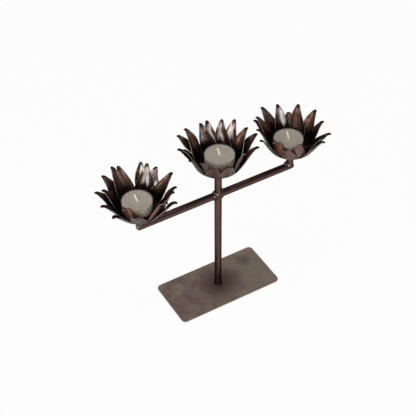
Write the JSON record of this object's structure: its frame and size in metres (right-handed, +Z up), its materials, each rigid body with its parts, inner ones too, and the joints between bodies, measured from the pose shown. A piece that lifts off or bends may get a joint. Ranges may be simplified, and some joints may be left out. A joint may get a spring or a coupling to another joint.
{
  "type": "tealight candle holder",
  "caption": "Table-top candle holder: a round-bar cross on a flat base plate carries bent sheet-metal flowers, each holding a loose tealight.",
  "frame": {"origin": "centre of the base plate's underside, where it rests on the table", "axes": "+X along the crossbar and the long side of the plate, towards the shorter right arm; +Y to the back; +Z up"},
  "size_m": [0.318, 0.1025, 0.2504],
  "materials": {
    "lacquered_plate": "satin",
    "lacquered_bar": "satin",
    "weld_bead": "satin",
    "petal_sheet": "gloss",
    "clear_cup": "gloss",
    "wax": "satin",
    "cotton_wick": "matte",
    "tinned_tab": "satin"
  },
  "bodies": {
    "stand": {"base_plate": "lacquered_plate", "post": "lacquered_bar", "post_foot_weld": "weld_bead", "left_arm": "lacquered_bar", "right_arm": "lacquered_bar", "left_riser": "lacquered_bar", "right_riser": "lacquered_bar", "left_riser_weld": "weld_bead", "right_riser_weld": "weld_bead", "left_arm_upper_weld": "weld_bead", "left_arm_lower_weld": "weld_bead", "right_arm_upper_weld": "weld_bead", "right_arm_lower_weld": "weld_bead", "left_flower_weld": "weld_bead", "left_outer_petals": "petal_sheet", "left_inner_petals": "petal_sheet", "left_plug_weld": "weld_bead", "centre_flower_weld": "weld_bead", "centre_outer_petals": "petal_sheet", "centre_inner_petals": "petal_sheet", "centre_plug_weld": "weld_bead", "right_flower_weld": "weld_bead", "right_outer_petals": "petal_sheet", "right_inner_petals": "petal_sheet", "right_plug_weld": "weld_bead"},
    "left_candle": {"left_candle_cup": "clear_cup", "left_wax": "wax", "left_wick": "cotton_wick", "left_wick_tab": "tinned_tab"},
    "centre_candle": {"centre_candle_cup": "clear_cup", "centre_wax": "wax", "centre_wick": "cotton_wick", "centre_wick_tab": "tinned_tab"},
    "right_candle": {"right_candle_cup": "clear_cup", "right_wax": "wax", "right_wick": "cotton_wick", "right_wick_tab": "tinned_tab"}
  },
  "joints": [
    {"name": "left_candle_lift", "type": "slide", "parent": "stand", "child": "left_candle", "axis": [0, 0, 1], "range_m": [0, 0.06]},
    {"name": "centre_candle_lift", "type": "slide", "parent": "stand", "child": "centre_candle", "axis": [0, 0, 1], "range_m": [0, 0.06]},
    {"name": "right_candle_lift", "type": "slide", "parent": "stand", "child": "right_candle", "axis": [0, 0, 1], "range_m": [0, 0.06]}
  ]
}
